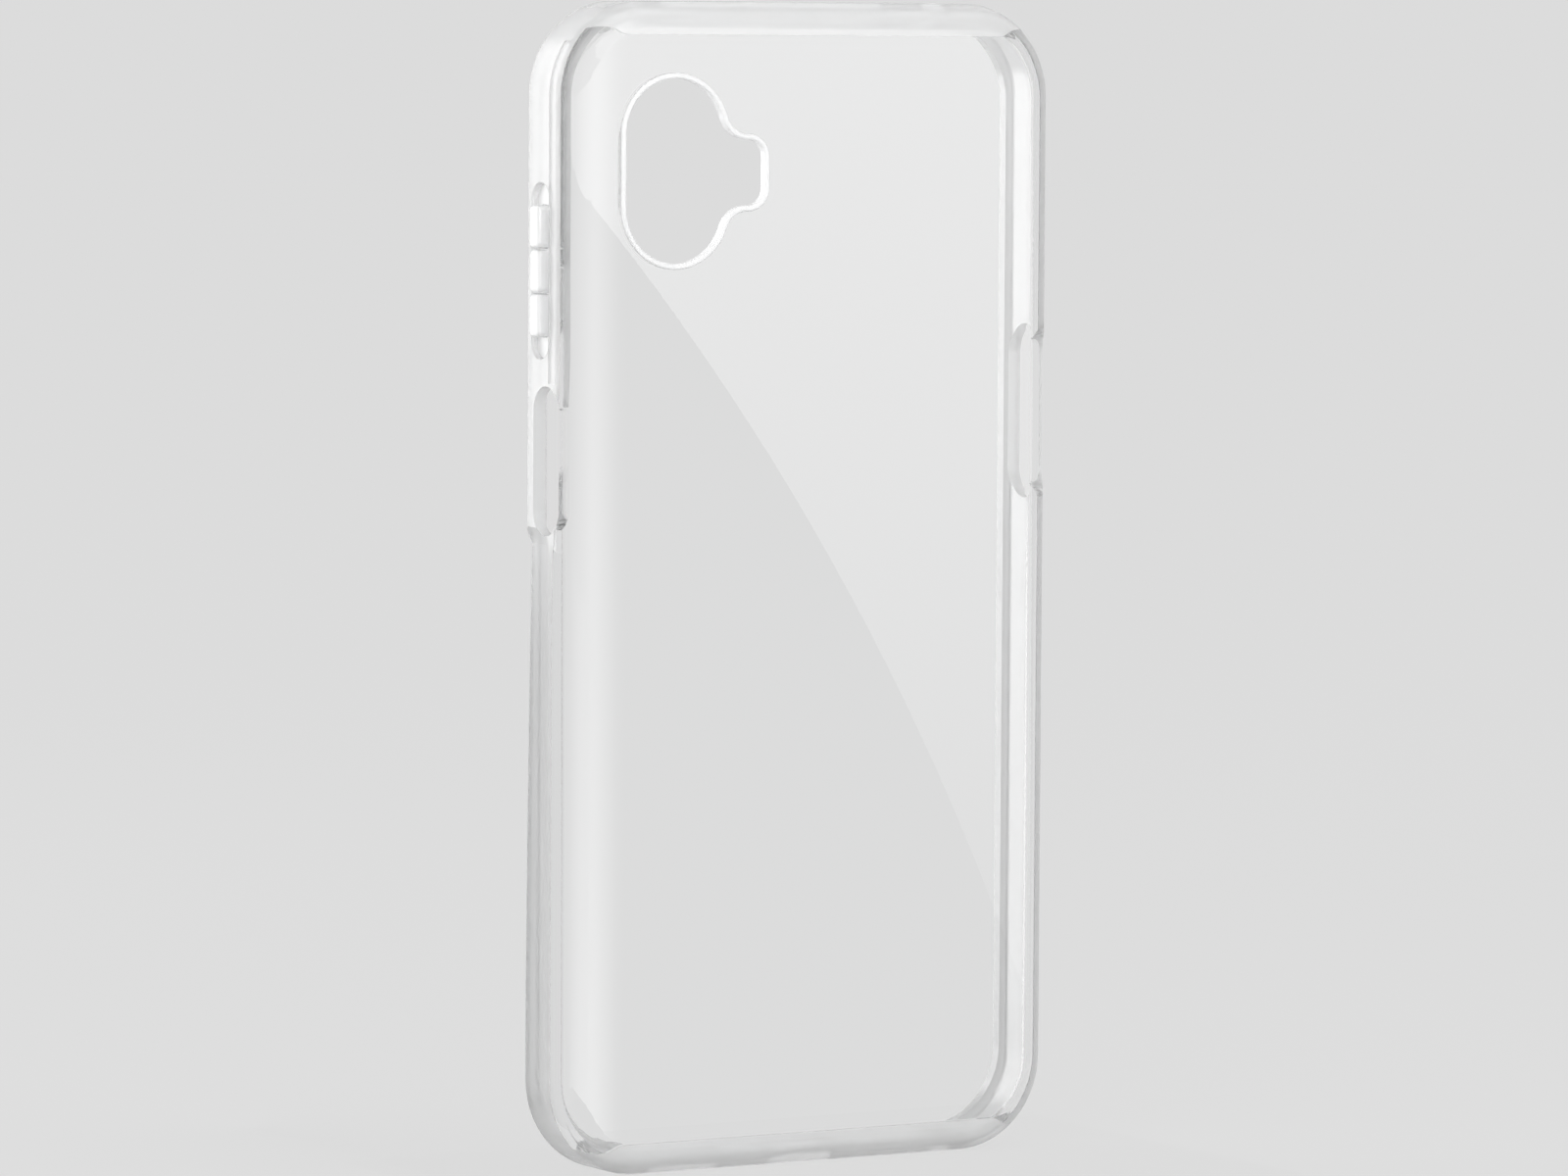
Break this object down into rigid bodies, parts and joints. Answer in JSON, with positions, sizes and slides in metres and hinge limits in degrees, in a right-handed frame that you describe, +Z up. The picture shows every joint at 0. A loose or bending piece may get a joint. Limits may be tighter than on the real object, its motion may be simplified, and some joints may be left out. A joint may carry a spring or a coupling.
{
  "type": "phone case",
  "caption": "Clear hybrid phone case: hard back panel in a soft bumper frame, with a retaining lip, a raised camera window rim, pressed volume pads and openings for keys and sockets.",
  "frame": {"origin": "centre of the whole object's footprint at the bottom edge, with the case standing upright", "axes": "+Z up the case's length, +X to the right as seen from behind, -Y out of the back face, +Y out of the mouth that the phone goes in through"},
  "size_m": [0.0852, 0.0126, 0.173],
  "materials": {
    "clear_panel": "clear hard polycarbonate, polished",
    "soft_frame": "clear soft polyurethane, smooth with a faint haze",
    "soft_rim": "clear soft polyurethane, smooth",
    "soft_keys": "clear soft polyurethane, smooth"
  },
  "bodies": {
    "case": {"back_panel": "clear_panel", "bumper_frame": "soft_frame", "camera_window_rim": "soft_rim", "volume_key_web": "soft_keys"},
    "volume_up": {"volume_up_pad": "soft_keys"},
    "volume_down": {"volume_down_pad": "soft_keys"}
  },
  "joints": [
    {"name": "volume_up_press", "type": "slide", "parent": "case", "child": "volume_up", "axis": [1, 0, 0], "range_m": [0, 0.0004], "stiffness_N_per_m": 1500},
    {"name": "volume_down_press", "type": "slide", "parent": "case", "child": "volume_down", "axis": [1, 0, 0], "range_m": [0, 0.0004], "stiffness_N_per_m": 1500}
  ]
}
